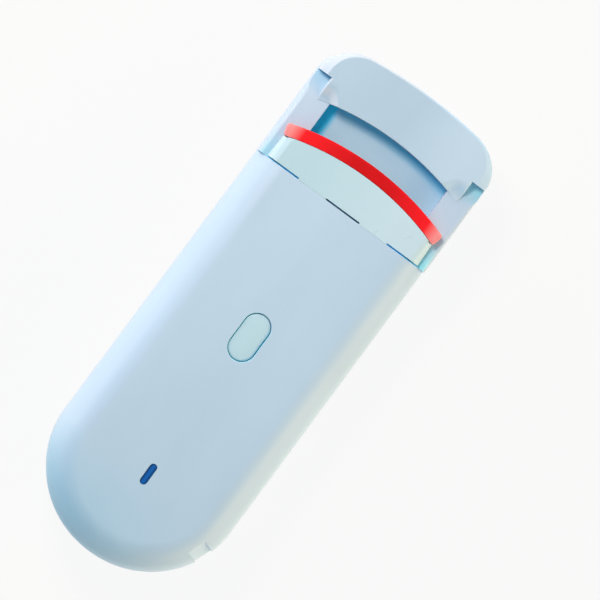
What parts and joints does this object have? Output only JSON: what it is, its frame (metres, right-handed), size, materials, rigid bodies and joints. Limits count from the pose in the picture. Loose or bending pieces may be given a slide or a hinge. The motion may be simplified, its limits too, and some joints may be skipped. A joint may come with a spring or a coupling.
{
  "type": "heated eyelash curler",
  "caption": "Capsule-shaped heated eyelash curler: a sliding jaw with a red silicone pad meets a windowed head when the rear lever is squeezed; button, indicator and charging socket.",
  "frame": {"origin": "middle of the footprint, on the surface the curler lies on, back down", "axes": "+X the right side seen from the front, +Y towards the head, +Z out of the front face"},
  "size_m": [0.038, 0.1046, 0.02],
  "materials": {
    "shell_blue": "satin pale blue ABS",
    "mint": "satin mint",
    "silicone_red": "soft red silicone",
    "lens_blue": "clear dark blue",
    "heater_blue": "blue coated plate",
    "steel": "plain steel",
    "nylon": "natural white acetal",
    "grip_blue": "soft-touch",
    "board_green": "solder mask",
    "chip_black": "moulded",
    "cell_silver": "laminated pouch",
    "ceramic": "white ceramic",
    "foam_grey": "foam",
    "lead_red": "lead insulation",
    "lead_black": "lead insulation"
  },
  "bodies": {
    "casing": {"front_shell": "shell_blue", "rear_shell": "shell_blue", "head_frame": "shell_blue", "head_cap": "shell_blue", "head_back_cover": "shell_blue", "indicator_lens": "lens_blue", "heater_plate": "heater_blue", "strap_bar": "steel", "guide_rod_right": "steel", "guide_rod_left": "steel", "hinge_pin": "steel", "usb_port": "steel", "casing_screw_upper_right": "steel", "casing_screw_upper_left": "steel", "casing_screw_lower_right": "steel", "casing_screw_lower_left": "steel", "frame_screw_right": "steel", "frame_screw_left": "steel", "head_screw_right": "steel", "head_screw_left": "steel", "battery_socket": "nylon", "heater_socket": "nylon", "circuit_board": "board_green", "controller_chip": "chip_black", "charger_chip": "chip_black", "tact_switch": "chip_black", "temperature_sensor": "chip_black", "battery": "cell_silver", "heater_element": "ceramic", "indicator_led": "ceramic", "heater_insulator": "foam_grey", "battery_foam": "foam_grey", "power_coil": "foam_grey", "heater_lead_red": "lead_red", "battery_lead_red": "lead_red", "heater_lead_black": "lead_black", "battery_lead_black": "lead_black"},
    "jaw": {"jaw_plate": "mint", "silicone_pad": "silicone_red", "jaw_carriage": "nylon", "jaw_screw_right": "steel", "jaw_screw_left": "steel", "return_spring_right": "steel", "return_spring_left": "steel"},
    "lever": {"press_lever": "shell_blue", "lever_grip": "grip_blue"},
    "button": {"power_button": "mint", "switch_plunger": "nylon"}
  },
  "joints": [
    {"name": "lever_press", "type": "hinge", "parent": "casing", "child": "lever", "pos_m": [0, -0.041, 0.006], "axis": [1, 0, 0], "range_deg": [0, 5.4], "stiffness_Nm_per_rad": 2, "springref_deg": -4.58},
    {"name": "jaw_slide", "type": "slide", "parent": "casing", "child": "jaw", "axis": [0, 1, 0], "range_m": [0, 0.006], "deforming": ["return_spring_right", "return_spring_left"]},
    {"name": "power_press", "type": "slide", "parent": "casing", "child": "button", "axis": [0, 0, -1], "range_m": [0, 0.0003], "stiffness_N_per_m": 3000, "springref_m": -0.0002}
  ],
  "couplings": [
    {"joint": "jaw_slide", "follows": "lever_press", "m_per_rad": 0.0636}
  ]
}
